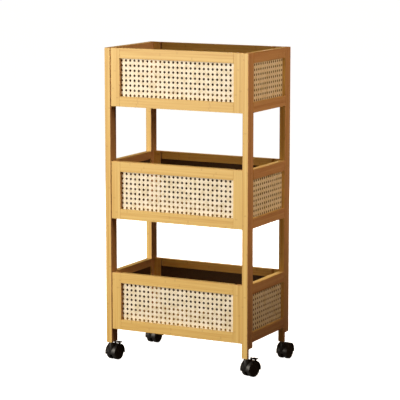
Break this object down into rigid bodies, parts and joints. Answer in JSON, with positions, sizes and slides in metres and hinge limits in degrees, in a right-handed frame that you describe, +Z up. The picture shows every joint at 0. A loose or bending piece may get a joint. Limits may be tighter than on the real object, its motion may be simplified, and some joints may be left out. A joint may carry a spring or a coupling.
{
  "type": "rolling utility cart",
  "caption": "Narrow wooden trolley with open tray tiers, woven cane panels between square posts, and twin-wheel swivel casters, the front ones braked.",
  "frame": {"origin": "middle of the footprint, on the floor", "axes": "+Z up, +X to the right along the front, the front faces -Y"},
  "size_m": [0.4416, 0.27, 0.832],
  "materials": {
    "wood_frame": "satin clear lacquer on honey-coloured bamboo",
    "wood_rail": "satin clear lacquer on honey-coloured bamboo",
    "wood_board": "satin clear lacquer on bamboo board",
    "cane": "bare woven cane",
    "hood_nylon": "moulded black nylon",
    "wheel_nylon": "moulded black nylon tread",
    "zinc": "bright zinc plate"
  },
  "bodies": {
    "root": {"post_front_left": "wood_frame", "post_front_right": "wood_frame", "post_back_left": "wood_frame", "post_back_right": "wood_frame", "side_rail_lower_left_top": "wood_rail", "side_rail_lower_left_bottom": "wood_rail", "side_cane_lower_left": "cane", "side_rail_middle_left_top": "wood_rail", "side_rail_middle_left_bottom": "wood_rail", "side_cane_middle_left": "cane", "side_rail_upper_left_top": "wood_rail", "side_rail_upper_left_bottom": "wood_rail", "side_cane_upper_left": "cane", "side_rail_lower_right_top": "wood_rail", "side_rail_lower_right_bottom": "wood_rail", "side_cane_lower_right": "cane", "side_rail_middle_right_top": "wood_rail", "side_rail_middle_right_bottom": "wood_rail", "side_cane_middle_right": "cane", "side_rail_upper_right_top": "wood_rail", "side_rail_upper_right_bottom": "wood_rail", "side_cane_upper_right": "cane", "panel_frame_lower_front": "wood_frame", "panel_cane_lower_front": "cane", "panel_frame_middle_front": "wood_frame", "panel_cane_middle_front": "cane", "panel_frame_upper_front": "wood_frame", "panel_cane_upper_front": "cane", "panel_frame_lower_back": "wood_frame", "panel_cane_lower_back": "cane", "panel_frame_middle_back": "wood_frame", "panel_cane_middle_back": "cane", "panel_frame_upper_back": "wood_frame", "panel_cane_upper_back": "cane", "shelf_board_lower": "wood_board", "shelf_board_middle": "wood_board", "shelf_board_upper": "wood_board", "caster_stem_front_left": "zinc", "caster_stem_front_right": "zinc", "caster_stem_back_left": "zinc", "caster_stem_back_right": "zinc"},
    "caster_front_left": {"caster_hood_front_left": "hood_nylon", "caster_axle_front_left": "zinc"},
    "wheel_front_left_l": {"caster_wheel_front_left_l": "wheel_nylon"},
    "wheel_front_left_r": {"caster_wheel_front_left_r": "wheel_nylon"},
    "lever_front_left": {"brake_lever_front_left": "hood_nylon"},
    "caster_front_right": {"caster_hood_front_right": "hood_nylon", "caster_axle_front_right": "zinc"},
    "wheel_front_right_l": {"caster_wheel_front_right_l": "wheel_nylon"},
    "wheel_front_right_r": {"caster_wheel_front_right_r": "wheel_nylon"},
    "lever_front_right": {"brake_lever_front_right": "hood_nylon"},
    "caster_back_left": {"caster_hood_back_left": "hood_nylon", "caster_axle_back_left": "zinc"},
    "wheel_back_left_l": {"caster_wheel_back_left_l": "wheel_nylon"},
    "wheel_back_left_r": {"caster_wheel_back_left_r": "wheel_nylon"},
    "caster_back_right": {"caster_hood_back_right": "hood_nylon", "caster_axle_back_right": "zinc"},
    "wheel_back_right_l": {"caster_wheel_back_right_l": "wheel_nylon"},
    "wheel_back_right_r": {"caster_wheel_back_right_r": "wheel_nylon"}
  },
  "joints": [
    {"name": "swivel_front_left", "type": "hinge", "parent": "root", "child": "caster_front_left", "pos_m": [-0.20455, -0.12431, 0.0463], "axis": [0, 0, 1], "continuous": true},
    {"name": "roll_front_left_l", "type": "hinge", "parent": "caster_front_left", "child": "wheel_front_left_l", "pos_m": [-0.2024, -0.10795, 0.02], "axis": [0.9914, -0.1305, 0], "continuous": true},
    {"name": "roll_front_left_r", "type": "hinge", "parent": "caster_front_left", "child": "wheel_front_left_r", "pos_m": [-0.2024, -0.10795, 0.02], "axis": [0.9914, -0.1305, 0], "continuous": true},
    {"name": "brake_front_left", "type": "hinge", "parent": "caster_front_left", "child": "lever_front_left", "pos_m": [-0.20095, -0.09698, 0.04374], "axis": [0.9914, -0.1305, 0], "range_deg": [-18, 0]},
    {"name": "swivel_front_right", "type": "hinge", "parent": "root", "child": "caster_front_right", "pos_m": [0.19495, -0.12431, 0.0463], "axis": [0, 0, 1], "continuous": true},
    {"name": "roll_front_right_l", "type": "hinge", "parent": "caster_front_right", "child": "wheel_front_right_l", "pos_m": [0.1995, -0.10845, 0.02], "axis": [0.9613, -0.2756, 0], "continuous": true},
    {"name": "roll_front_right_r", "type": "hinge", "parent": "caster_front_right", "child": "wheel_front_right_r", "pos_m": [0.1995, -0.10845, 0.02], "axis": [0.9613, -0.2756, 0], "continuous": true},
    {"name": "brake_front_right", "type": "hinge", "parent": "caster_front_right", "child": "lever_front_right", "pos_m": [0.20255, -0.09781, 0.04374], "axis": [0.9613, -0.2756, 0], "range_deg": [-18, 0]},
    {"name": "swivel_back_left", "type": "hinge", "parent": "root", "child": "caster_back_left", "pos_m": [-0.20455, 0.09469, 0.0463], "axis": [0, 0, 1], "continuous": true},
    {"name": "roll_back_left_l", "type": "hinge", "parent": "caster_back_left", "child": "wheel_back_left_l", "pos_m": [-0.20383, 0.11117, 0.02], "axis": [0.999, -0.0436, 0], "continuous": true},
    {"name": "roll_back_left_r", "type": "hinge", "parent": "caster_back_left", "child": "wheel_back_left_r", "pos_m": [-0.20383, 0.11117, 0.02], "axis": [0.999, -0.0436, 0], "continuous": true},
    {"name": "swivel_back_right", "type": "hinge", "parent": "root", "child": "caster_back_right", "pos_m": [0.19495, 0.09469, 0.0463], "axis": [0, 0, 1], "continuous": true},
    {"name": "roll_back_right_l", "type": "hinge", "parent": "caster_back_right", "child": "wheel_back_right_l", "pos_m": [0.19567, 0.11117, 0.02], "axis": [0.999, -0.0436, 0], "continuous": true},
    {"name": "roll_back_right_r", "type": "hinge", "parent": "caster_back_right", "child": "wheel_back_right_r", "pos_m": [0.19567, 0.11117, 0.02], "axis": [0.999, -0.0436, 0], "continuous": true}
  ]
}
